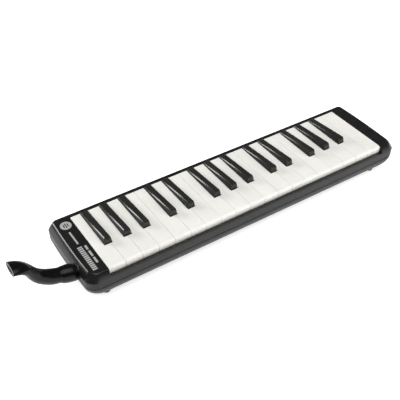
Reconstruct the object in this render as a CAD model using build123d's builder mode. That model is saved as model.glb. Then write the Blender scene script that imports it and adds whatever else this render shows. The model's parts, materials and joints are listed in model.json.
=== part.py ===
from build123d import *
import os
from math import sqrt

# A 32-key melodica. Millimetres, +X along the keyboard from low to high notes, +Y away from the
# player, +Z up. The origin is on the table, under the middle of the whole instrument.

os.makedirs("parts", exist_ok=True)

# Overall sizes
body_length = 431.7
case_depth = 104.0
mouthpiece_reach = 65.3
drain_proud = 2.5
overall_length = mouthpiece_reach + body_length + drain_proud
body_left = mouthpiece_reach - overall_length / 2
body_right = body_left + body_length
front = -case_depth / 2
back = case_depth / 2

# Levels
tub_bottom = 4.0
groove_z = 24.0
seam_z = 32.8
key_top = 42.0
black_top_front = 50.0
black_top_back = 43.5

# Casing
end_bow = 1.4
front_corner, back_corner = 12.0, 6.0
wall = 2.4
seam_step = 0.25
groove_width = 0.8
groove_depth = 0.8
lower_round = 18.0
lower_corner_growth = 6.0
ledge_top = 34.4
ledge_back = front + 4.7
rim_front = back - 7.8
end_slope, front_slope, back_slope = 6.9, 4.9, 3.0
cheek_end, cheek_front, cheek_back = 7.0, 5.6, 5.0
top_corner_change, cheek_corner_change = -2.0, -4.0
upper_steps = (0.0, 0.2, 0.4, 0.6, 0.75, 0.86, 0.94, 0.985, 1.0)
lower_steps = (0.0, 0.3, 0.55, 0.75, 0.9, 1.0)
inner_round_top = groove_z - 1.5
well_gap = 0.3
rim_hollow_y, rim_hollow_width, rim_hollow_end = back - 4.6, 2.2, 5.0
end_hole_depth, end_overrun = wall + 4.0, 5.0
# How far a solid that cuts runs on past the face it cuts
overcut, small_overcut = 1.0, 0.1

# Keyboard
white_count = 19
pitch = 20.0
key_gap = 0.25
black_shift = {1: -3.1, 2: 0.3, 3: 3.8, 5: -1.9, 6: 1.6}
keys_x = body_left + 26.6
key_front = front + 5.5
key_back = rim_front - 0.4
black_front = front + 37.8
black_width = 9.4
black_lean = 0.14
black_slant = 2.0
black_lip = 2.4
black_corner = 0.9
black_bevel = 0.9
black_bottom = key_top - 3.0
black_web_front = black_front + 2.0
notch_side = 0.4
notch_front = 1.0
plate = 2.2
skirt = 1.6
key_corner, end_key_corner, key_front_round = 1.4, 2.6, 2.6
front_skirt_z = key_top - 9.9
tail_skirt_z = key_top - 6.0

# Key action
axle_y, axle_z, axle_r = 18.0, 33.0, 1.25
axle_end_gap, axle_chamfer = 0.6, 0.3
pivot_bore_r = 1.30
pivot_boss_r = 3.6
web_half = 2.0
web_front, web_back, web_bottom = -20.0, 40.0, 31.0
foot_front, foot_bottom = 32.0, 26.6
pad_length, pad_width, pad_bottom = 9.0, 7.5, 23.6
pad_y = 35.5
bed_front, bed_back = front + 4.0, 26.0
bed_bottom, bed_top = 23.5, 25.3
post_width, post_length, post_top, post_margin = 2.5, 8.0, 35.2, 4.6
felt_front, felt_back, felt_height = bed_front + 0.2, key_front + 5.0, 1.4

# Air path
air_left, air_right = keys_x + 0.5, keys_x + 377.0
air_front, air_back = 0.0, 44.0
cell_front, cell_back = 5.5, 38.5
cell_width, cell_roof = 6.5, 1.5
block_bottom, block_top = 15.5, 23.5
reed_plate_thickness = 1.0
gasket_bottom = 13.5
tray_bottom, flange_bottom = 8.5, 12.0
tray_wall = 1.7
tray_front, tray_back = 6.0, 38.0
tray_inner_front, tray_inner_back, chamber_end = 8.0, 36.0, 2.0
tube_y, tube_z = front + 30.8, 30.0
casing_hole_r, collar_bore_r = 8.6, 6.85
socket_bore_r, seal_outer_r, seal_inner_r, spigot_r = 6.90, 6.85, 6.05, 6.0
duct_x, duct_r, duct_bore_r, duct_end_z = keys_x - 7.4, 4.8, 3.6, 23.0
drain_y, drain_z, drain_sleeve_r = 10.0, 20.0, 4.6
drain_hole_r = drain_sleeve_r + 0.1
pallet_hole = (5.0, 5.6)

blacks = [b for b in range(1, white_count) if b % 7 in black_shift]
keyboard_right = keys_x + white_count * pitch
bed_left, bed_right = keys_x + 1.0, keyboard_right - 1.0


def black_x(boundary):
    """Centre of the black key at the boundary after that many white keys."""
    return keys_x + boundary * pitch + black_shift[boundary % 7]


def notch_half():
    return black_width / 2 + notch_side


def white_edges(index):
    """Left and right edges of a white key, at its front and at its narrower tail."""
    left = keys_x + index * pitch + key_gap / 2
    right = left + pitch - key_gap
    tail_left = max(left, black_x(index) + notch_half()) if index in blacks else left
    tail_right = min(right, black_x(index + 1) - notch_half()) if index + 1 in blacks else right
    return left, right, tail_left, tail_right


def white_lane(index):
    """Centre of a white key's tail, where its lever runs."""
    return sum(white_edges(index)[2:]) / 2


lanes = sorted([white_lane(i) for i in range(white_count)] + [black_x(b) for b in blacks])


def span(low, high):
    """Centre and size of a box from its low and high corners."""
    centre = tuple((a + b) / 2 for a, b in zip(low, high))
    return centre, tuple(b - a for a, b in zip(low, high))


def case_outline(z, end_inset, front_inset, back_inset, corner_change):
    """The casing seen from above, with bowed ends, pulled in from its full outline.

    Its corners have their full radius plus the change, which is negative for sharper ones.
    """
    left, right = body_left + end_inset, body_right - end_inset
    near, far = front + front_inset, back - back_inset
    middle = (near + far) / 2
    with BuildSketch(Plane.XY.offset(z)) as outline:
        with BuildLine():
            Line((left + end_bow, near), (right - end_bow, near))
            ThreePointArc((right - end_bow, near), (right, middle), (right - end_bow, far))
            Line((right - end_bow, far), (left + end_bow, far))
            ThreePointArc((left + end_bow, far), (left, middle), (left + end_bow, near))
        make_face()
        fillet(outline.vertices().group_by(Axis.Y)[0], front_corner + corner_change)
        fillet(outline.vertices().group_by(Axis.Y)[-1], back_corner + corner_change)
    return outline.sketch


def round_fall(t):
    """How far a quarter round has come in, as a part of its radius, at height t from its start."""
    return 1 - sqrt(max(0.0, 1 - t * t))


def slope_fall(t):
    """The same for the casing's upper edge, which slopes in and turns over roundly at its top."""
    return 0.7 * t + 0.3 * round_fall(t)


def tub_sections(inset, radius, top_z, bottom_z, corner_change):
    """Outlines of the tub's rounded lower part, from its straight wall down to its flat bottom."""
    sections = []
    for t in lower_steps:
        pulled_in = inset + radius * round_fall(t)
        z = top_z - (top_z - bottom_z) * t
        grown = corner_change + lower_corner_growth * t
        sections.append(case_outline(z, pulled_in, pulled_in, pulled_in, grown))
    return sections


# Fastener and foot places
inset_x = 14.3
casing_screw_places = [(x, y) for x in (body_left + inset_x, body_right - inset_x) for y in (-35.0, 40.0)]
casing_head_z, casing_head_r, casing_head_height = 20.0, 3.0, 2.0
casing_shank_r, casing_screw_top, casing_boss_r = 1.4, 39.5, 4.2
casing_head_hole_r, casing_hole_top = casing_head_r + 0.2, casing_screw_top + 0.2
casing_recess, casing_recess_depth = (3.4, 0.7), 1.1
foot_places = [(x, y) for x in (keys_x - 1.0, keyboard_right - 1.0) for y in (-36.5, 36.5)]
foot_r, foot_rim_r, foot_rim_bottom, foot_height = 4.5, 5.2, 3.0, 4.2
foot_boss_top, foot_chamfer = foot_height + 2.0, 0.6
bed_screw_places = [(keys_x + x, -36.0) for x in (20.0, 88.0, 156.0, 224.0, 292.0, 360.0)]
bed_screw_r, bed_head_r, bed_head_height, bed_screw_length = 1.4, 2.8, 1.6, 12.0
bed_boss_r, bed_recess, bed_recess_depth = 4.0, (3.2, 0.7), 0.9
tub_rib_places = [(keys_x + 40.0 + 60.0 * n, 22.0) for n in range(6)]
tub_rib_width, tub_rib_length = 2.0, 28.0
press_fit, close_fit, free_fit = 0.01, 0.05, 0.1
chamber_screw_places = [(keys_x + 10.0 + 90.0 * n, y) for n in range(5) for y in (3.0, 41.0)]
chamber_screw_r, chamber_head_r, chamber_head_height = 1.1, 2.0, 1.4
chamber_screw_top, chamber_hole_top = 20.0, 20.3

# ---- Casing ----

with BuildPart() as upper_casing:
    rise = key_top - seam_z
    loft([
        case_outline(
            seam_z + rise * t,
            end_slope * slope_fall(t),
            front_slope * slope_fall(t),
            back_slope * slope_fall(t),
            top_corner_change * t,
        )
        for t in upper_steps
    ], ruled=True)
    # The opening for the keys runs out to the front, over a low ledge.
    well_left, well_right, well_top = keys_x - well_gap, keyboard_right + well_gap, key_top + overcut
    key_well = span((well_left, ledge_back, seam_z - overcut), (well_right, rim_front, well_top))
    with Locations(key_well[0]):
        Box(*key_well[1], mode=Mode.SUBTRACT)
    over_ledge = span((well_left, front - overcut, ledge_top), (well_right, ledge_back, well_top))
    with Locations(over_ledge[0]):
        Box(*over_ledge[1], mode=Mode.SUBTRACT)
    # Both cheeks are hollow from below, around a boss for each casing screw.
    with BuildSketch(Plane.XY.offset(seam_z)) as cheek_hollows:
        add(case_outline(0, cheek_end, cheek_front, cheek_back, cheek_corner_change))
        with Locations(((keys_x + keyboard_right) / 2, 0)):
            Rectangle(white_count * pitch + 2 * wall, case_depth + 2 * overcut, mode=Mode.SUBTRACT)
        with Locations(*casing_screw_places):
            Circle(casing_boss_r, mode=Mode.SUBTRACT)
    extrude(amount=rise - wall, mode=Mode.SUBTRACT)
    with BuildSketch(Plane.XY.offset(seam_z)) as rim_hollow:
        with Locations(((keys_x + keyboard_right) / 2, rim_hollow_y)):
            Rectangle(white_count * pitch - 2 * rim_hollow_end, rim_hollow_width)
    extrude(amount=rise - wall, mode=Mode.SUBTRACT)
    with BuildSketch(Plane.XY.offset(seam_z)):
        with Locations(*casing_screw_places):
            Circle(casing_shank_r + close_fit)
    extrude(amount=casing_hole_top - seam_z, mode=Mode.SUBTRACT)
    with BuildSketch(Plane.YZ.offset(body_left - end_overrun)):
        with Locations((tube_y, tube_z)):
            Circle(casing_hole_r)
    extrude(amount=end_overrun + cheek_end + overcut, mode=Mode.SUBTRACT)
upper_casing.part.label = "upper_casing"
export_step(upper_casing.part, "parts/upper_casing.step")

with BuildPart() as tub_space:
    # The room inside the tub. Posts and ribs are left standing in it.
    space_bottom = tub_bottom + wall
    loft(tub_sections(seam_step + wall, lower_round - wall, inner_round_top, space_bottom, -wall))
    extrude(
        case_outline(inner_round_top, seam_step + wall, seam_step + wall, seam_step + wall, -wall),
        amount=seam_z + overcut - inner_round_top,
    )
    with BuildSketch(Plane.XY.offset(tub_bottom)):
        with Locations(*casing_screw_places):
            Circle(casing_boss_r)
    extrude(amount=seam_z - tub_bottom, mode=Mode.SUBTRACT)
    with BuildSketch(Plane.XY.offset(tub_bottom)):
        with Locations(*bed_screw_places):
            Circle(bed_boss_r)
    extrude(amount=bed_bottom - tub_bottom, mode=Mode.SUBTRACT)
    with BuildSketch(Plane.XY.offset(tub_bottom)):
        with Locations(*tub_rib_places):
            Rectangle(tub_rib_width, tub_rib_length)
    extrude(amount=tray_bottom - tub_bottom, mode=Mode.SUBTRACT)

with BuildPart() as lower_casing:
    extrude(
        case_outline(groove_z, seam_step, seam_step, seam_step, 0),
        amount=seam_z - groove_z,
    )
    groove_inset = seam_step + groove_depth
    extrude(
        case_outline(groove_z - groove_width, groove_inset, groove_inset, groove_inset, 0),
        amount=groove_width,
    )
    loft(tub_sections(seam_step, lower_round, groove_z - groove_width, tub_bottom, 0))
    with BuildSketch(Plane.XY.offset(foot_rim_bottom)):
        with Locations(*foot_places):
            Circle(foot_rim_r)
    extrude(amount=foot_boss_top - foot_rim_bottom)
    add(tub_space.part, mode=Mode.SUBTRACT)
    with BuildSketch(Plane.XY):
        with Locations(*foot_places):
            Circle(foot_r)
    extrude(amount=foot_height, mode=Mode.SUBTRACT)
    with BuildSketch(Plane.XY):
        with Locations(*casing_screw_places):
            Circle(casing_head_hole_r)
    extrude(amount=casing_head_z + casing_head_height, mode=Mode.SUBTRACT)
    with BuildSketch(Plane.XY):
        with Locations(*casing_screw_places):
            Circle(casing_shank_r + free_fit)
    extrude(amount=seam_z + overcut, mode=Mode.SUBTRACT)
    with BuildSketch(Plane.XY.offset(bed_bottom - bed_screw_length)):
        with Locations(*bed_screw_places):
            Circle(bed_screw_r + close_fit)
    extrude(amount=bed_screw_length + overcut, mode=Mode.SUBTRACT)
    with BuildSketch(Plane.YZ.offset(body_left - end_overrun)):
        with Locations((tube_y, tube_z)):
            Circle(casing_hole_r)
    extrude(amount=end_overrun + end_hole_depth, mode=Mode.SUBTRACT)
    with BuildSketch(Plane.YZ.offset(body_right - end_hole_depth)):
        with Locations((drain_y, drain_z)):
            Circle(drain_hole_r)
    extrude(amount=end_hole_depth + end_overrun, mode=Mode.SUBTRACT)
lower_casing.part.label = "lower_casing"
export_step(lower_casing.part, "parts/lower_casing.step")

with BuildPart() as casing_screws:
    with BuildSketch(Plane.XY.offset(casing_head_z)):
        with Locations(*casing_screw_places):
            Circle(casing_head_r)
    extrude(amount=casing_head_height)
    with BuildSketch(Plane.XY.offset(casing_head_z)):
        with Locations(*casing_screw_places):
            Circle(casing_shank_r)
    extrude(amount=casing_screw_top - casing_head_z)
    with BuildSketch(Plane.XY.offset(casing_head_z)):
        with Locations(*casing_screw_places):
            Rectangle(*casing_recess)
            Rectangle(*reversed(casing_recess))
    extrude(amount=casing_recess_depth, mode=Mode.SUBTRACT)
casing_screws.part.label = "casing_screws"
export_step(casing_screws.part, "parts/casing_screws.step")

with BuildPart() as rubber_feet:
    with BuildSketch(Plane.XY):
        with Locations(*foot_places):
            Circle(foot_r)
    extrude(amount=foot_height)
    chamfer(rubber_feet.edges().group_by(Axis.Z)[0], foot_chamfer)
rubber_feet.part.label = "rubber_feet"
export_step(rubber_feet.part, "parts/rubber_feet.step")

# The printed mark on the left cheek: a disc with three reeds left clear, a scale of ticks and rules.
print_thickness = 0.08
emblem_x, emblem_y, emblem_r = keys_x - 9.4, 34.6, 6.4
emblem_bars, emblem_bar_width = ((-2.3, 5.0), (0.0, 7.6), (2.3, 5.0)), 1.1
tick_x, tick_width, tick_length, tick_step, tick_count, tick_start = keys_x - 11.8, 5.4, 2.1, 3.0, 13, -40.0
short_rules = ((-33.0, -24.0), (-22.0, -13.0), (-11.0, -4.0))
short_rule_x, short_rule_width = keys_x - 5.4, 2.4
long_rule, long_rule_x, long_rule_width = (2.0, 23.0), keys_x - 10.6, 2.0
with BuildPart() as cheek_print:
    with BuildSketch(Plane.XY.offset(key_top)):
        with Locations((emblem_x, emblem_y)):
            Circle(emblem_r)
        for shift, length in emblem_bars:
            with Locations((emblem_x + shift, emblem_y)):
                Rectangle(emblem_bar_width, length, mode=Mode.SUBTRACT)
        with Locations(*[(tick_x, tick_start + tick_step * n) for n in range(tick_count)]):
            Rectangle(tick_width, tick_length)
        for low, high in short_rules:
            with Locations((short_rule_x, (low + high) / 2)):
                Rectangle(short_rule_width, high - low)
        with Locations((long_rule_x, sum(long_rule) / 2)):
            Rectangle(long_rule_width, long_rule[1] - long_rule[0])
    extrude(amount=print_thickness)
cheek_print.part.label = "cheek_print"
export_step(cheek_print.part, "parts/cheek_print.step")

# ---- Keys ----


def add_lever(lane, start_y, top_z):
    """Adds to a key its web, pivot boss and rear foot, as one solid to join to it."""
    with BuildPart() as lever:
        for low, high in (
            ((lane - web_half, start_y, web_bottom), (lane + web_half, web_back, top_z)),
            ((lane - web_half, foot_front, foot_bottom), (lane + web_half, web_back, web_bottom)),
        ):
            centre, size = span(low, high)
            with Locations(centre):
                Box(*size)
        with BuildSketch(Plane.YZ.offset(lane - web_half)):
            with Locations((axle_y, axle_z)):
                Circle(pivot_boss_r)
        extrude(amount=2 * web_half)
    return lever.part


def pivot_bore(lane):
    """The bore through a lever's boss, as a solid to cut with."""
    with BuildPart() as bore:
        with BuildSketch(Plane.YZ.offset(lane - web_half - overcut)):
            with Locations((axle_y, axle_z)):
                Circle(pivot_bore_r)
        extrude(amount=2 * (web_half + overcut))
    return bore.part


def pallet_pad(lane):
    """The felt and leather pad under a lever's foot, which closes its cell."""
    centre, size = span(
        (lane - pad_width / 2, pad_y - pad_length / 2, pad_bottom),
        (lane + pad_width / 2, pad_y + pad_length / 2, foot_bottom),
    )
    with BuildPart() as pad:
        with Locations(centre):
            Box(*size)
    return pad.part


def save_key(key, lane, name):
    """Writes a key and its pallet pad as the two solids of one node."""
    node = Compound(label=name, children=[key, pallet_pad(lane)])
    export_step(node, f"parts/{name}.step")


notch_y = black_front - notch_front

with BuildPart() as front_round:
    # What is cut away to round the top front edge of every white key.
    with BuildSketch(Plane.YZ.offset(keys_x)):
        with BuildLine():
            CenterArc((key_front + key_front_round, key_top - key_front_round), key_front_round, 90, 90)
            Polyline(
                (key_front, key_top - key_front_round),
                (key_front - overcut, key_top - key_front_round),
                (key_front - overcut, key_top + overcut),
                (key_front + key_front_round, key_top + overcut),
                (key_front + key_front_round, key_top),
            )
        make_face()
    extrude(amount=white_count * pitch)

for index in range(white_count):
    left, right, tail_left, tail_right = white_edges(index)
    lane = white_lane(index)
    head_middle, head_length = (key_front + notch_y) / 2, notch_y - key_front
    tail_start = notch_y - 2 * skirt
    with BuildPart() as white_key:
        with BuildSketch(Plane.XY.offset(front_skirt_z)) as head:
            with Locations(((left + right) / 2, head_middle)):
                Rectangle(right - left, head_length)
            front_left, front_right = head.vertices().group_by(Axis.Y)[0].sort_by(Axis.X)
            fillet(front_left, key_corner)
            fillet(front_right, end_key_corner if index == white_count - 1 else key_corner)
        extrude(amount=key_top - front_skirt_z)
        add(front_round.part, mode=Mode.SUBTRACT)
        with BuildSketch(Plane.XY.offset(tail_skirt_z)):
            with Locations(((tail_left + tail_right) / 2, (tail_start + key_back) / 2)):
                Rectangle(tail_right - tail_left, key_back - tail_start)
        extrude(amount=key_top - tail_skirt_z)
        with BuildSketch(Plane.XY.offset(front_skirt_z)):
            with Locations(((left + right) / 2, head_middle)):
                Rectangle(right - left - 2 * skirt, head_length - 2 * skirt)
        extrude(amount=key_top - plate - front_skirt_z, mode=Mode.SUBTRACT)
        with BuildSketch(Plane.XY.offset(front_skirt_z)):
            with Locations(((tail_left + tail_right) / 2, (tail_start + key_back) / 2)):
                Rectangle(tail_right - tail_left - 2 * skirt, key_back - tail_start - 2 * skirt)
        extrude(amount=key_top - plate - front_skirt_z, mode=Mode.SUBTRACT)
        add(add_lever(lane, web_front, key_top - plate))
        add(pivot_bore(lane), mode=Mode.SUBTRACT)
    save_key(white_key.part, lane, f"white_key_{index + 1:02d}")


def black_section(y, top_z):
    """A black key cut across: straight sides, a taper, and bevelled top edges."""
    half = black_width / 2
    top_half = half - black_lean * (top_z - black_bevel - key_top)
    right_side = [
        (half, black_bottom), (half, key_top),
        (top_half, top_z - black_bevel), (top_half - black_bevel, top_z),
    ]
    left_side = [(-x, z) for x, z in reversed(right_side)]
    with BuildSketch(Plane((0, y, 0), x_dir=(1, 0, 0), z_dir=(0, -1, 0))) as section:
        with BuildLine():
            Polyline(*right_side, *left_side, close=True)
        make_face()
    return section.sketch


with BuildPart() as black_blank:
    # A black key's top, centred on X = 0. Its front leans back above the white keys.
    loft([black_section(black_front, black_top_front), black_section(key_back, black_top_back)], ruled=True)
    with BuildSketch(Plane.YZ.offset(-black_width)):
        with BuildLine():
            Polyline(
                (black_front - overcut, key_top + black_lip),
                (black_front, key_top + black_lip),
                (black_front + black_slant, black_top_front + small_overcut),
                (black_front + black_slant, black_top_front + overcut),
                (black_front - overcut, black_top_front + overcut),
                close=True,
            )
        make_face()
    extrude(amount=2 * black_width, mode=Mode.SUBTRACT)
    corner_inside, corner_outside = black_width / 2 - black_corner, black_width / 2 + small_overcut
    corner_start, corner_end = black_front - small_overcut, black_front + black_corner + small_overcut
    with BuildSketch(Plane.XY.offset(black_bottom - overcut)):
        for side in (-1, 1):
            with BuildLine():
                Polyline(
                    (side * black_width, corner_start),
                    (side * corner_inside, corner_start),
                    (side * corner_outside, corner_end),
                    (side * black_width, corner_end),
                    close=True,
                )
            make_face()
    extrude(amount=black_top_front - black_bottom + 2 * overcut, mode=Mode.SUBTRACT)

for number, boundary in enumerate(blacks, start=1):
    lane = black_x(boundary)
    with BuildPart() as black_key:
        with Locations((lane, 0, 0)):
            add(black_blank.part)
        add(add_lever(lane, black_web_front, key_top))
        add(pivot_bore(lane), mode=Mode.SUBTRACT)
    save_key(black_key.part, lane, f"black_key_{number:02d}")

with BuildPart() as key_axle:
    with BuildSketch(Plane.YZ.offset(keys_x + axle_end_gap)):
        with Locations((axle_y, axle_z)):
            Circle(axle_r)
    extrude(amount=white_count * pitch - 2 * axle_end_gap)
    chamfer(key_axle.edges(), axle_chamfer)
key_axle.part.label = "key_axle"
export_step(key_axle.part, "parts/key_axle.step")

post_x = [(a + b) / 2 for a, b in zip(lanes, lanes[1:])]
post_x += [lanes[0] - post_margin, lanes[-1] + post_margin]
with BuildPart() as key_bed:
    centre, size = span((bed_left, bed_front, bed_bottom), (bed_right, bed_back, bed_top))
    with Locations(centre):
        Box(*size)
    with Locations(*[(x, axle_y, (bed_top + post_top) / 2) for x in post_x]):
        Box(post_width, post_length, post_top - bed_top)
    with BuildSketch(Plane.YZ.offset(keys_x)):
        with Locations((axle_y, axle_z)):
            Circle(axle_r + press_fit)
    extrude(amount=white_count * pitch, mode=Mode.SUBTRACT)
    with BuildSketch(Plane.XY.offset(bed_bottom)):
        with Locations(*bed_screw_places):
            Circle(bed_screw_r + free_fit)
    extrude(amount=bed_top - bed_bottom, mode=Mode.SUBTRACT)
key_bed.part.label = "key_bed"
export_step(key_bed.part, "parts/key_bed.step")

with BuildPart() as bed_screws:
    with BuildSketch(Plane.XY.offset(bed_top - bed_screw_length)):
        with Locations(*bed_screw_places):
            Circle(bed_screw_r)
    extrude(amount=bed_screw_length)
    with BuildSketch(Plane.XY.offset(bed_top)):
        with Locations(*bed_screw_places):
            Circle(bed_head_r)
    extrude(amount=bed_head_height)
    with BuildSketch(Plane.XY.offset(bed_top + bed_head_height - bed_recess_depth)):
        with Locations(*bed_screw_places):
            Rectangle(*bed_recess)
            Rectangle(*reversed(bed_recess))
    extrude(amount=bed_recess_depth, mode=Mode.SUBTRACT)
bed_screws.part.label = "bed_screws"
export_step(bed_screws.part, "parts/bed_screws.step")

with BuildPart() as front_felt:
    centre, size = span((bed_left, felt_front, bed_top), (bed_right, felt_back, bed_top + felt_height))
    with Locations(centre):
        Box(*size)
front_felt.part.label = "front_felt"
export_step(front_felt.part, "parts/front_felt.step")

spring_wire_r, spring_bend_r, spring_gap = 0.4, 3.0, 0.1
spring_foot, spring_bend, spring_tip = -12.0, -4.0, 9.0
with BuildPart() as spring_blank:
    # A bent wire: its foot lies on the key bed and its arm bears up under the web.
    with BuildLine(Plane.YZ) as spring_path:
        FilletPolyline(
            (spring_foot, bed_top + spring_wire_r),
            (spring_bend, bed_top + spring_wire_r),
            (spring_tip, web_bottom - spring_wire_r - spring_gap),
            radius=spring_bend_r,
        )
    with BuildSketch(Plane.XZ.offset(-spring_foot)):
        with Locations((0, bed_top + spring_wire_r)):
            Circle(spring_wire_r)
    sweep()

with BuildPart() as key_springs:
    with Locations(*[(lane, 0, 0) for lane in lanes]):
        add(spring_blank.part)
key_springs.part.label = "key_springs"
export_step(key_springs.part, "parts/key_springs.step")

# ---- Air path ----

with BuildPart() as cell_block:
    centre, size = span((air_left, air_front, block_bottom), (air_right, air_back, block_top))
    with Locations(centre):
        Box(*size)
    with BuildSketch(Plane.XY.offset(block_bottom)):
        with Locations(*[(lane, (cell_front + cell_back) / 2) for lane in lanes]):
            Rectangle(cell_width, cell_back - cell_front)
    extrude(amount=block_top - block_bottom - cell_roof, mode=Mode.SUBTRACT)
    with BuildSketch(Plane.XY.offset(block_bottom)):
        with Locations(*[(lane, pad_y) for lane in lanes]):
            Rectangle(*pallet_hole)
    extrude(amount=block_top - block_bottom, mode=Mode.SUBTRACT)
    with BuildSketch(Plane.XY.offset(block_bottom)):
        with Locations(*chamber_screw_places):
            Circle(chamber_screw_r + close_fit)
    extrude(amount=chamber_hole_top - block_bottom, mode=Mode.SUBTRACT)
cell_block.part.label = "cell_block"
export_step(cell_block.part, "parts/cell_block.step")

plate_bottom = block_bottom - reed_plate_thickness
low_count = 16
plate_split, plate_gap = (lanes[low_count - 1] + lanes[low_count]) / 2, 0.2
reed_longest, reed_shortest = 28.0, 14.0
reed_width, reed_thickness, reed_root = 2.4, 0.35, 4.0
reed_slot_width, reed_tip_gap = reed_width + 0.2, 0.3
rivet_r, rivet_hole_r, rivet_proud = 0.7, 0.75, 0.4


def reed_length(number):
    """Reeds get shorter from the lowest note to the highest."""
    return reed_longest + (reed_shortest - reed_longest) * number / (len(lanes) - 1)


reed_sets = (
    ("low", air_left, plate_split - plate_gap / 2, range(low_count)),
    ("high", plate_split + plate_gap / 2, air_right, range(low_count, len(lanes))),
)
for pitch_name, left, right, numbers in reed_sets:
    with BuildPart() as reed_plate:
        centre, size = span((left, air_front, plate_bottom), (right, air_back, block_bottom))
        with Locations(centre):
            Box(*size)
        with BuildSketch(Plane.XY.offset(plate_bottom)):
            for number in numbers:
                with Locations((lanes[number], cell_front + reed_root + reed_length(number) / 2)):
                    Rectangle(reed_slot_width, reed_length(number))
            for number in numbers:
                with Locations((lanes[number], cell_front + reed_root / 2)):
                    Circle(rivet_hole_r)
            with Locations(*[p for p in chamber_screw_places if left < p[0] < right]):
                Circle(chamber_screw_r + free_fit)
        extrude(amount=reed_plate_thickness, mode=Mode.SUBTRACT)
    reed_plate.part.label = f"reed_plate_{pitch_name}"
    export_step(reed_plate.part, f"parts/reed_plate_{pitch_name}.step")

    with BuildPart() as reeds:
        with BuildSketch(Plane.XY.offset(plate_bottom - reed_thickness)):
            for number in numbers:
                length = reed_length(number) + reed_root - reed_tip_gap
                with Locations((lanes[number], cell_front + length / 2)):
                    Rectangle(reed_width, length)
        extrude(amount=reed_thickness)
        with BuildSketch(Plane.XY.offset(plate_bottom - reed_thickness - rivet_proud)):
            with Locations(*[(lanes[number], cell_front + reed_root / 2) for number in numbers]):
                Circle(rivet_r)
        extrude(amount=rivet_proud + reed_thickness + reed_plate_thickness)
    reeds.part.label = f"reeds_{pitch_name}"
    export_step(reeds.part, f"parts/reeds_{pitch_name}.step")

with BuildPart() as chamber_gasket:
    with BuildSketch(Plane.XY.offset(gasket_bottom)):
        with Locations(((air_left + air_right) / 2, (air_front + air_back) / 2)):
            Rectangle(air_right - air_left, air_back - air_front)
            Rectangle(air_right - air_left - 2 * chamber_end, cell_back - cell_front, mode=Mode.SUBTRACT)
        with Locations(*chamber_screw_places):
            Circle(chamber_screw_r + free_fit, mode=Mode.SUBTRACT)
    extrude(amount=plate_bottom - gasket_bottom)
chamber_gasket.part.label = "chamber_gasket"
export_step(chamber_gasket.part, "parts/chamber_gasket.step")

header_left, header_left_back, header_left_top = keys_x - 13.0, 32.0, 30.0
header_right, header_right_back, header_right_top = keyboard_right + 9.0, 20.0, 28.0
header_bottom, header_gap = tray_bottom + 1.0, 0.5
header_left_end, header_right_start = keys_x - header_gap, keyboard_right + header_gap
passage, passage_top = 3.0, flange_bottom + 0.5
duct_hole_r, drain_port_r = duct_r + 0.4, 2.0
tray_floor, header_floor = tray_bottom + 1.2, header_bottom + 1.2
with BuildPart() as wind_chamber:
    outside = (
        ((air_left, air_front, flange_bottom), (air_right, air_back, gasket_bottom)),
        ((air_left, tray_front, tray_bottom), (air_right, tray_back, flange_bottom)),
        ((header_left, air_front, header_bottom), (air_left, header_left_back, gasket_bottom)),
        ((header_left, air_front, gasket_bottom), (header_left_end, header_left_back, header_left_top)),
        ((air_right, air_front, header_bottom), (header_right, header_right_back, gasket_bottom)),
        (
            (header_right_start, air_front, gasket_bottom),
            (header_right, header_right_back, header_right_top),
        ),
    )
    for low, high in outside:
        centre, size = span(low, high)
        with Locations(centre):
            Box(*size)
    inner_left, inner_right = header_left + tray_wall, header_right - tray_wall
    left_back, left_top = header_left_back - tray_wall, header_left_top - tray_wall
    right_back, right_top = header_right_back - tray_wall, header_right_top - tray_wall
    tray_low = (air_left + chamber_end, tray_inner_front, tray_floor)
    tray_high = (air_right - chamber_end, tray_inner_back, gasket_bottom + overcut)
    inside = (
        (tray_low, tray_high),
        ((inner_left, tray_wall, header_floor), (header_left_end - tray_wall, left_back, left_top)),
        ((inner_left, tray_inner_front, header_floor), (air_left + passage, left_back, passage_top)),
        ((header_right_start + tray_wall, tray_wall, header_floor), (inner_right, right_back, right_top)),
        ((air_right - passage, tray_inner_front, header_floor), (inner_right, right_back, passage_top)),
    )
    for low, high in inside:
        centre, size = span(low, high)
        with Locations(centre):
            Box(*size, mode=Mode.SUBTRACT)
    with BuildSketch(Plane.XZ.offset(-tray_wall - overcut)):
        with Locations((duct_x, duct_end_z)):
            Circle(duct_hole_r)
    extrude(amount=tray_wall + 2 * overcut, mode=Mode.SUBTRACT)
    with BuildSketch(Plane.YZ.offset(inner_right - overcut)):
        with Locations((drain_y, drain_z)):
            Circle(drain_port_r)
    extrude(amount=tray_wall + 2 * overcut, mode=Mode.SUBTRACT)
    with BuildSketch(Plane.XY.offset(flange_bottom)):
        with Locations(*chamber_screw_places):
            Circle(chamber_screw_r + free_fit)
    extrude(amount=gasket_bottom + overcut - flange_bottom, mode=Mode.SUBTRACT)
wind_chamber.part.label = "wind_chamber"
export_step(wind_chamber.part, "parts/wind_chamber.step")

with BuildPart() as chamber_screws:
    with BuildSketch(Plane.XY.offset(flange_bottom - chamber_head_height)):
        with Locations(*chamber_screw_places):
            Circle(chamber_head_r)
    extrude(amount=chamber_head_height)
    with BuildSketch(Plane.XY.offset(flange_bottom)):
        with Locations(*chamber_screw_places):
            Circle(chamber_screw_r)
    extrude(amount=chamber_screw_top - flange_bottom)
chamber_screws.part.label = "chamber_screws"
export_step(chamber_screws.part, "parts/chamber_screws.step")

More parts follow.
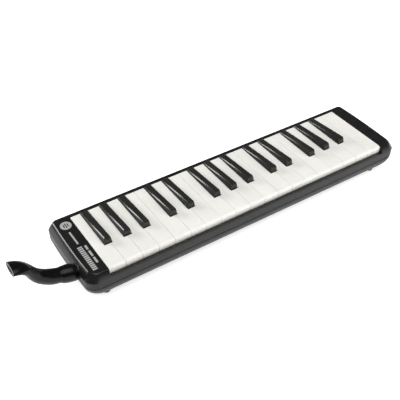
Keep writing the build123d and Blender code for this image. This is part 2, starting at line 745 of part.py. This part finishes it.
duct_start, duct_turn_y, duct_bend_r = body_left + 10.3, -7.0, 7.0
with BuildPart() as inlet_duct:
    with BuildLine() as duct_path:
        FilletPolyline(
            (duct_start, tube_y, tube_z),
            (duct_x, tube_y, tube_z),
            (duct_x, duct_turn_y, duct_end_z),
            (duct_x, tray_wall, duct_end_z),
            radius=duct_bend_r,
        )
    with BuildSketch(Plane.YZ.offset(duct_start)):
        with Locations((tube_y, tube_z)):
            Circle(duct_r)
            Circle(duct_bore_r, mode=Mode.SUBTRACT)
    sweep()
inlet_duct.part.label = "inlet_duct"
export_step(inlet_duct.part, "parts/inlet_duct.step")

duct_seal_width, duct_seal_outer_r, duct_seal_inner_r = 2.0, duct_r + 1.3, duct_r + 0.6
with BuildPart() as duct_seal:
    with BuildSketch(Plane.XZ.offset(duct_seal_width)):
        with Locations((duct_x, duct_end_z)):
            Circle(duct_seal_outer_r)
            Circle(duct_seal_inner_r, mode=Mode.SUBTRACT)
    extrude(amount=-duct_seal_width)
duct_seal.part.label = "duct_seal"
export_step(duct_seal.part, "parts/duct_seal.step")


def ring(x_start, x_end, y, z, outer, inner):
    """A ring or tube along X, as a solid to join to a turned piece."""
    with BuildPart() as tube:
        with BuildSketch(Plane.YZ.offset(x_start)):
            with Locations((y, z)):
                Circle(outer)
                if inner:
                    Circle(inner, mode=Mode.SUBTRACT)
        extrude(amount=x_end - x_start)
    return tube.part


# ---- Mouthpiece and its socket ----

socket_face = body_left + 1.6
socket_floor = duct_start - 1.2
socket_flange_start = body_left + cheek_end + 0.8
socket_r, socket_flange_r = 8.5, 9.4
duct_cup, duct_cup_outer_r, duct_cup_inner_r = 1.4, 7.5, duct_r + 0.25
with BuildPart() as mouthpiece_socket:
    add(ring(socket_face, socket_floor, tube_y, tube_z, socket_r, socket_bore_r))
    add(ring(socket_flange_start, socket_floor, tube_y, tube_z, socket_flange_r, socket_bore_r))
    add(ring(socket_floor, duct_start, tube_y, tube_z, socket_r, duct_bore_r))
    add(ring(duct_start, duct_start + duct_cup, tube_y, tube_z, duct_cup_outer_r, duct_cup_inner_r))
mouthpiece_socket.part.label = "mouthpiece_socket"
export_step(mouthpiece_socket.part, "parts/mouthpiece_socket.step")

seal_start, seal_width = body_left + 2.6, 3.0
with BuildPart() as spigot_seal:
    add(ring(seal_start, seal_start + seal_width, tube_y, tube_z, seal_outer_r, seal_inner_r))
spigot_seal.part.label = "spigot_seal"
export_step(spigot_seal.part, "parts/spigot_seal.step")

# The swan neck runs out along -X and up, in one vertical plane. Each pair is how far out, how far up.
root_x, spigot_end = body_left - 0.1, seal_start + 5.0
beak_rise = 0.16
neck_points = [
    (0, 0), (9.7, 2.6), (18.4, 4.8), (26.7, 8.0), (34.8, 12.9), (42.1, 20.3), (45.6, 26.0), (49.3, 32.0),
    (54.3, 36.6), (59.7, 39.5), (64.5, 40.7),
]
with BuildLine() as neck:
    Spline(
        *[(root_x - out, tube_y, tube_z + up) for out, up in neck_points],
        tangents=[(-1, 0, 0), (-1, 0, beak_rise)],
    )
neck_line = neck.line
collar_end = 0.21


def neck_section(along, width, height):
    """An oval square to the neck, at that part of its length."""
    with BuildSketch(Plane(neck_line @ along, x_dir=(0, 1, 0), z_dir=neck_line % along)) as section:
        Ellipse(width / 2, height / 2)
    return section.sketch


def neck_loft(rows):
    """One smooth stretch of the neck through outlines given as place, width and height."""
    with BuildPart() as stretch:
        loft([neck_section(*row) for row in rows])
    return stretch.part


# Place along the neck, then the outside width and height, then the bore's width and height
neck_rows = [
    (collar_end, 17.0, 17.0, 10.0, 10.0),
    (0.30, 16.9, 16.9, 10.0, 10.0),
    (0.40, 16.8, 16.6, 10.0, 9.9),
    (0.50, 16.4, 15.6, 9.7, 9.2),
    (0.60, 15.8, 13.9, 9.4, 8.2),
    (0.70, 15.6, 12.2, 9.6, 6.8),
    (0.80, 17.4, 11.2, 11.0, 5.4),
    (0.90, 20.0, 9.8, 12.8, 4.2),
    (0.97, 21.2, 8.6, 14.0, 3.2),
    (1.0, 21.4, 9.0, 14.2, 3.0),
]
tube_end_r = collar_bore_r - close_fit
root_bore = 9.0
with BuildPart() as mouthpiece:
    add(neck_loft([row[:3] for row in neck_rows]))
    add(neck_loft([(along, 2 * tube_end_r, 2 * tube_end_r) for along in (0.0, collar_end / 2, collar_end)]))
    add(ring(root_x, spigot_end, tube_y, tube_z, spigot_r, 0))
    bore_rows = [(along, root_bore, root_bore) for along in (0.0, collar_end / 2)]
    add(neck_loft(bore_rows + [(row[0], *row[3:]) for row in neck_rows]), mode=Mode.SUBTRACT)
    add(ring(root_x - overcut / 2, spigot_end, tube_y, tube_z, root_bore / 2, 0), mode=Mode.SUBTRACT)
mouthpiece.part.label = "mouthpiece"
export_step(mouthpiece.part, "parts/mouthpiece.step")

# Place along the neck, then the collar's outside width
collar_rows = [(0.004, 18.8), (collar_end / 2, 19.6), (collar_end - 0.002, 17.5)]
with BuildPart() as mouthpiece_collar:
    add(neck_loft([(along, size, size) for along, size in collar_rows]))
    tube_places = (0.0, collar_end / 2, collar_end)
    add(
        neck_loft([(along, 2 * collar_bore_r, 2 * collar_bore_r) for along in tube_places]),
        mode=Mode.SUBTRACT,
    )
mouthpiece_collar.part.label = "mouthpiece_collar"
export_step(mouthpiece_collar.part, "parts/mouthpiece_collar.step")

# ---- Drain ----

sleeve_start, sleeve_floor_end, sleeve_end = header_right, header_right + 1.2, body_right - 0.5
sleeve_stem_r, sleeve_bore_r = 1.5, 3.4
button_inner, button_r, button_round = body_right - 6.7, 3.2, 0.8
with BuildPart() as drain_sleeve:
    add(ring(sleeve_start, sleeve_floor_end, drain_y, drain_z, drain_sleeve_r, sleeve_stem_r))
    add(ring(sleeve_floor_end, sleeve_end, drain_y, drain_z, drain_sleeve_r, sleeve_bore_r))
drain_sleeve.part.label = "drain_sleeve"
export_step(drain_sleeve.part, "parts/drain_sleeve.step")

stem_r, stem_start = 1.2, inner_right - 1.8
with BuildPart() as drain_button:
    add(ring(button_inner, body_right + drain_proud, drain_y, drain_z, button_r, 0))
    fillet(drain_button.edges().group_by(Axis.X)[-1], button_round)
    add(ring(stem_start, button_inner, drain_y, drain_z, stem_r, 0))
drain_button.part.label = "drain_button"
export_step(drain_button.part, "parts/drain_button.step")

drain_seal_start, drain_seal_end, drain_seal_r = inner_right - 1.4, inner_right - 0.1, 3.0
with BuildPart() as drain_seal:
    add(ring(drain_seal_start, drain_seal_end, drain_y, drain_z, drain_seal_r, stem_r))
drain_seal.part.label = "drain_seal"
export_step(drain_seal.part, "parts/drain_seal.step")

coil_r, coil_wire_r, coil_turns = 2.3, 0.3, 4
with BuildPart() as drain_spring:
    coil_start = sleeve_floor_end + coil_wire_r + close_fit
    coil_length = button_inner - coil_wire_r - close_fit - coil_start
    with BuildLine() as coil:
        Helix(
            pitch=coil_length / coil_turns, height=coil_length, radius=coil_r,
            center=(coil_start, drain_y, drain_z), direction=(1, 0, 0),
        )
    with BuildSketch(Plane(coil.line @ 0, z_dir=coil.line % 0)):
        Circle(coil_wire_r)
    sweep(is_frenet=True)
drain_spring.part.label = "drain_spring"
export_step(drain_spring.part, "parts/drain_spring.step")
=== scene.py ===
import bpy
import json
from math import radians
from mathutils import Matrix, Vector


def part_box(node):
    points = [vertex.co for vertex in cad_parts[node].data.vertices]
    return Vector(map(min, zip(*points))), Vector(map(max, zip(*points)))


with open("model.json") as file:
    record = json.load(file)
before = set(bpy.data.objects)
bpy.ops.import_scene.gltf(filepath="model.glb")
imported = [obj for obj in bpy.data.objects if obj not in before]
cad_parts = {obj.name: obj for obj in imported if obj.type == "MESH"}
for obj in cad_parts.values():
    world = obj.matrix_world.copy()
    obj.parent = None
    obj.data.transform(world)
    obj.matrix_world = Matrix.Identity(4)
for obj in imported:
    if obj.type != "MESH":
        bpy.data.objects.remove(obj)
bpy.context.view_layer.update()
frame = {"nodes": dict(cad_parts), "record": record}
nodes = frame["nodes"]

WHITE_KEYS = sorted(n for n in nodes if n.startswith("white_key_"))
BLACK_KEYS = sorted(n for n in nodes if n.startswith("black_key_"))
SLOT_OF = {s["node"]: s["material_slot"] for s in frame["record"]["subparts"]}
PAD_THICKNESS = 0.003
first_key_low, first_key_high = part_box(WHITE_KEYS[0])
key_top = first_key_high.z
pad_top = first_key_low.z + PAD_THICKNESS


# ---- Materials ----


class Shader:
    """A Principled material whose parts are added one at a time."""

    def __init__(self, name):
        self.material = bpy.data.materials.new(name)
        self.material.use_nodes = True
        self.tree = self.material.node_tree
        self.bsdf = self.tree.nodes["Principled BSDF"]
        self.place = self.tree.nodes.new("ShaderNodeTexCoord").outputs["Object"]

    def node(self, kind, **inputs):
        made = self.tree.nodes.new("ShaderNode" + kind)
        for name, value in inputs.items():
            made.inputs[name.replace("_", " ")].default_value = value
        return made

    def link(self, output, target):
        self.tree.links.new(output, target)

    def constant(self, **values):
        for name, value in values.items():
            self.bsdf.inputs[name.replace("_", " ")].default_value = value

    def noise(self, scale, detail=3.0, stretch=(1, 1, 1)):
        """Noise over the piece, scale in waves per metre, finer along an axis with a larger stretch."""
        mapping = self.node("Mapping")
        mapping.inputs["Scale"].default_value = stretch
        self.link(self.place, mapping.inputs["Vector"])
        noise = self.node("TexNoise", Scale=scale, Detail=detail)
        self.link(mapping.outputs["Vector"], noise.inputs["Vector"])
        return noise.outputs["Fac"]

    def ramp(self, value, low, high, start=0.3, end=0.7):
        """A value or colour that runs from low to high as value goes from start to end."""
        ramp = self.node("ValToRGB")
        for element, at, colour in zip(ramp.color_ramp.elements, (start, end), (low, high)):
            element.position = at
            element.color = (colour,) * 3 + (1,) if isinstance(colour, float) else (*colour, 1)
        self.link(value, ramp.inputs["Fac"])
        return ramp.outputs["Color"]

    def span(self, value, from_low, from_high, low=0.0, high=1.0):
        spread = self.tree.nodes.new("ShaderNodeMapRange")
        limits = {"From Min": from_low, "From Max": from_high, "To Min": low, "To Max": high}
        for name, number in limits.items():
            spread.inputs[name].default_value = number
        self.link(value, spread.inputs["Value"])
        return spread.outputs["Result"]

    def coordinate(self, axis):
        split = self.node("SeparateXYZ")
        self.link(self.place, split.inputs["Vector"])
        return split.outputs[axis]

    def steepness(self):
        """How far a face is turned to either end of the instrument: 1 is square to its length."""
        facing = self.node("SeparateXYZ")
        self.link(self.tree.nodes["Texture Coordinate"].outputs["Normal"], facing.inputs["Vector"])
        unsigned = self.tree.nodes.new("ShaderNodeMath")
        unsigned.operation = "ABSOLUTE"
        self.link(facing.outputs["X"], unsigned.inputs[0])
        return unsigned.outputs[0]

    def mix(self, amount, first, second):
        """A colour between two colours, either of which may be a fixed one."""
        mix = self.tree.nodes.new("ShaderNodeMix")
        mix.data_type = "RGBA"
        self.link(amount, mix.inputs[0])
        for colour, socket in ((first, mix.inputs[6]), (second, mix.inputs[7])):
            if isinstance(colour, tuple):
                socket.default_value = (*colour, 1)
            else:
                self.link(colour, socket)
        return mix.outputs[2]

    def colour(self, output):
        self.link(output, self.bsdf.inputs["Base Color"])

    def roughness(self, value, low, high):
        self.link(self.span(value, 0.3, 0.7, low, high), self.bsdf.inputs["Roughness"])

    def bump(self, height, depth, strength=1.0):
        """Raises the surface by up to depth, in metres."""
        bump = self.node("Bump", Strength=strength, Distance=depth)
        self.link(height, bump.inputs["Height"])
        self.link(bump.outputs["Normal"], self.bsdf.inputs["Normal"])


def gloss_casing():
    shader = Shader("casing_gloss")
    shader.constant(IOR=1.42)
    shader.colour(shader.ramp(shader.noise(90, 4), (0.0075, 0.0075, 0.008), (0.013, 0.0125, 0.012)))
    shader.roughness(shader.noise(700, 5), 0.16, 0.27)
    shader.bump(shader.noise(2600, 2), 0.00002, 0.5)
    return shader.material


def satin_casing():
    shader = Shader("casing_satin")
    shader.constant(IOR=1.33)
    shader.colour(shader.ramp(shader.noise(60, 4), (0.014, 0.014, 0.015), (0.021, 0.021, 0.022)))
    shader.roughness(shader.noise(500, 5), 0.34, 0.48)
    shader.bump(shader.noise(3200, 2), 0.00003, 0.5)
    return shader.material


def mouthpiece_plastic():
    shader = Shader("mouthpiece_plastic")
    shader.constant(IOR=1.31)
    shader.colour(shader.ramp(shader.noise(120, 4), (0.0015, 0.0015, 0.0015), (0.004, 0.004, 0.004)))
    shader.roughness(shader.noise(420, 4), 0.18, 0.28)
    shader.bump(shader.noise(1800, 3), 0.00003, 0.5)
    return shader.material


def key_material(name, plastic, side_shade, rough, grain_depth):
    """Key plastic darkened down the sides and front with a painted shade colour, with red felt on the
    pallet pad.
    """
    shader = Shader(name)
    top_colour = shader.ramp(shader.noise(35, 3), *plastic)
    # Painted shade: below the top, the colour turns to the darker side_shade colour, which stands in for
    # the shade on the key's sides and front.
    down = shader.span(shader.coordinate("Z"), key_top - 0.002, key_top - 0.008)
    shaded_key_colour = shader.mix(down, top_colour, side_shade)
    grain = shader.noise(2400, 3, (1, 0.35, 1))
    pad_colour = shader.ramp(shader.noise(2200, 4), (0.10, 0.02, 0.02), (0.22, 0.05, 0.045))
    is_pad = shader.span(shader.coordinate("Z"), pad_top + 0.0001, pad_top - 0.0001)
    shader.colour(shader.mix(is_pad, shaded_key_colour, pad_colour))
    shader.roughness(grain, *rough)
    shader.bump(grain, grain_depth, 0.5)
    return shader


def white_key_material():
    shader = key_material(
        "white_key",
        plastic=((0.80, 0.79, 0.745), (0.86, 0.85, 0.81)),
        # Painted shade: a darker beige down the white key's sides and front.
        side_shade=(0.80, 0.77, 0.70),
        rough=(0.22, 0.34),
        grain_depth=0.00001,
    )
    shader.constant(IOR=1.49)
    shader.constant(Subsurface_Weight=0.12, Subsurface_Scale=0.0015, Subsurface_Radius=(1.0, 0.8, 0.6))
    return shader.material


def black_key_material():
    shader = key_material(
        "black_key",
        plastic=((0.013, 0.013, 0.012), (0.022, 0.022, 0.02)),
        # Painted shade: a darker black down the black key's sides.
        side_shade=(0.008, 0.008, 0.008),
        rough=(0.18, 0.24),
        grain_depth=0.0000015,
    )
    shader.constant(IOR=1.50)
    # The moulded sides are duller than the polished top and front.
    sideways = shader.span(shader.steepness(), 0.80, 0.96, 0.5, 0.08)
    shader.link(sideways, shader.bsdf.inputs["Specular IOR Level"])
    return shader.material


def silver_ink():
    shader = Shader("silver_print")
    shader.constant(Metallic=0.35)
    shader.colour(shader.ramp(shader.noise(1500, 4), (0.42, 0.42, 0.41), (0.58, 0.58, 0.57)))
    shader.roughness(shader.noise(2500, 2), 0.38, 0.55)
    shader.bump(shader.noise(5000, 2), 0.00001, 0.4)
    return shader.material


def rubber(name, low, high):
    shader = Shader(name)
    shader.colour(shader.ramp(shader.noise(300, 5), low, high))
    shader.roughness(shader.noise(900, 4), 0.62, 0.82)
    shader.bump(shader.noise(2500, 3), 0.00005, 0.6)
    return shader.material


def metal(name, low, high, rough, stretch):
    """Metal with fine lines left by rolling or drawing, along the axis with the small stretch."""
    shader = Shader(name)
    shader.constant(Metallic=1.0)
    lines = shader.noise(1800, 4, stretch)
    shader.colour(shader.ramp(lines, low, high))
    shader.roughness(lines, *rough)
    shader.bump(lines, 0.00001, 0.4)
    return shader.material


def matt_plastic(name, low, high):
    shader = Shader(name)
    shader.constant(IOR=1.47)
    shader.colour(shader.ramp(shader.noise(80, 4), low, high))
    shader.roughness(shader.noise(1200, 3), 0.45, 0.62)
    shader.bump(shader.noise(3000, 2), 0.00003, 0.5)
    return shader.material


def felt():
    shader = Shader("felt")
    fibres = shader.noise(2600, 6, (1, 2, 2))
    shader.colour(shader.ramp(fibres, (0.16, 0.015, 0.02), (0.36, 0.05, 0.05)))
    shader.roughness(fibres, 0.85, 1.0)
    shader.bump(fibres, 0.0002, 0.8)
    return shader.material


materials = {
    "casing_gloss": gloss_casing(),
    "casing_satin": satin_casing(),
    "mouthpiece_plastic": mouthpiece_plastic(),
    "white_key": white_key_material(),
    "black_key": black_key_material(),
    "silver_print": silver_ink(),
    "rubber": rubber("rubber", (0.012, 0.012, 0.012), (0.025, 0.024, 0.023)),
    "seal_rubber": rubber("seal_rubber", (0.05, 0.05, 0.05), (0.09, 0.09, 0.09)),
    "gasket_foam": rubber("gasket_foam", (0.12, 0.115, 0.10), (0.22, 0.21, 0.19)),
    "steel": metal("steel", (0.42, 0.42, 0.43), (0.62, 0.62, 0.62), (0.22, 0.4), (0.1, 1, 1)),
    "spring_wire": metal("spring_wire", (0.40, 0.39, 0.37), (0.58, 0.57, 0.55), (0.2, 0.36), (1, 0.1, 1)),
    "brass": metal("brass", (0.52, 0.36, 0.13), (0.74, 0.54, 0.24), (0.24, 0.42), (1, 0.08, 1)),
    "felt": felt(),
    "inner_plastic": matt_plastic("inner_plastic", (0.010, 0.010, 0.011), (0.017, 0.017, 0.018)),
    "block_plastic": matt_plastic("block_plastic", (0.20, 0.205, 0.215), (0.30, 0.305, 0.315)),
}


WELD_GAP = 1e-6
BEVEL_ANGLE = radians(35)
SPLIT_ANGLE = radians(30)
WIDE_FACE_WEIGHT = 80


def dress(node, edge, crisp):
    """Gives a CAD node its material, smooth rounds, and softened edges where edge is set.

    A crisp node keeps its narrow facets flat. Any other has its shading led by its widest faces.
    """
    piece = nodes[node]
    piece.data.materials.clear()
    piece.data.materials.append(materials[SLOT_OF[node]])
    piece.data.shade_smooth()
    weld = piece.modifiers.new("weld", "WELD")
    weld.merge_threshold = WELD_GAP
    if edge:
        bevel = piece.modifiers.new("edges", "BEVEL")
        bevel.width = edge
        bevel.segments = 2
        bevel.limit_method = "ANGLE"
        bevel.angle_limit = BEVEL_ANGLE
        bevel.harden_normals = crisp
        if not crisp:
            even = piece.modifiers.new("even_normals", "WEIGHTED_NORMAL")
            even.mode = "FACE_AREA_WITH_ANGLE"
            even.weight = WIDE_FACE_WEIGHT
    else:
        split = piece.modifiers.new("sharp_edges", "EDGE_SPLIT")
        split.split_angle = SPLIT_ANGLE


# How wide each node's edges are softened, in metres. The other nodes keep sharp edges.
EDGES = {
    "upper_casing": 0.00025,
    "lower_casing": 0.0003,
    "rubber_feet": 0.0003,
    "drain_button": 0.0002,
    **{n: 0.0002 for n in WHITE_KEYS},
    **{n: 0.00015 for n in BLACK_KEYS},
}
for name in nodes:
    dress(name, EDGES.get(name, 0.0), name in BLACK_KEYS)

# ---- Floor, light and camera ----

FLOOR_HALF = 4.0
WORLD_STRENGTH = 0.12
LENS, SENSOR = 64.04, 36.0
TURN, TILT, ROLL = -33.83, 90 - 41.34, 0.65
# The eye's place from the front left corner of the first white key's top
EYE_OFFSET = Vector((-0.20056, -0.4651, 0.53217))


def pale_floor():
    shader = Shader("pale_floor")
    shader.colour(shader.ramp(shader.noise(3, 2), (0.86, 0.86, 0.86), (0.89, 0.89, 0.89)))
    shader.constant(Roughness=0.9, Emission_Color=(1, 1, 1, 1), Emission_Strength=0.65)
    return shader.material


def floor():
    half = FLOOR_HALF
    mesh = bpy.data.meshes.new("floor")
    corners = [(-half, -half, 0), (half, -half, 0), (half, half, 0), (-half, half, 0)]
    mesh.from_pydata(corners, [], [(0, 1, 2, 3)])
    plane = bpy.data.objects.new("floor", mesh)
    plane.data.materials.append(pale_floor())
    bpy.context.scene.collection.objects.link(plane)


def area_light(name, place, aim, size, energy):
    data = bpy.data.lights.new(name, "AREA")
    data.shape = "RECTANGLE"
    data.size, data.size_y = size
    data.energy = energy
    lamp = bpy.data.objects.new(name, data)
    lamp.location = place
    lamp.rotation_euler = (Vector(aim) - Vector(place)).to_track_quat("-Z", "Y").to_euler()
    bpy.context.scene.collection.objects.link(lamp)
    return lamp


def studio():
    area_light("main_light", (0.05, -0.45, 1.8), (0.05, 0, 0), (2.2, 1.8), 34)
    area_light("back_left_light", (-1.1, 1.26, 0.66), (0, 0, 0.03), (0.9, 0.5), 18)
    front_fill = area_light("front_fill", (0.75, -0.95, 0.4), (0.15, 0, 0.03), (0.7, 0.5), 5.5)
    # It lifts the fronts of the white keys without being mirrored in the glossy black.
    front_fill.visible_glossy = False
    world = bpy.data.worlds.new("studio")
    world.use_nodes = True
    world.node_tree.nodes["Background"].inputs["Color"].default_value = (1, 1, 1, 1)
    world.node_tree.nodes["Background"].inputs["Strength"].default_value = WORLD_STRENGTH
    bpy.context.scene.world = world
    bpy.context.scene.view_settings.view_transform = "Standard"


def camera():
    """The photograph's view: from the front left, 41 degrees down."""
    data = bpy.data.cameras.new("camera")
    data.lens = LENS
    data.sensor_width = SENSOR
    eye = bpy.data.objects.new("camera", data)
    turn = Matrix.Rotation(radians(TURN), 4, "Z")
    tilt = Matrix.Rotation(radians(TILT), 4, "X")
    roll = Matrix.Rotation(radians(ROLL), 4, "Z")
    key_corner = Vector((first_key_low.x, first_key_low.y, key_top))
    eye.matrix_world = Matrix.Translation(key_corner + EYE_OFFSET) @ turn @ tilt @ roll
    bpy.context.scene.collection.objects.link(eye)
    bpy.context.scene.camera = eye


floor()
studio()
camera()
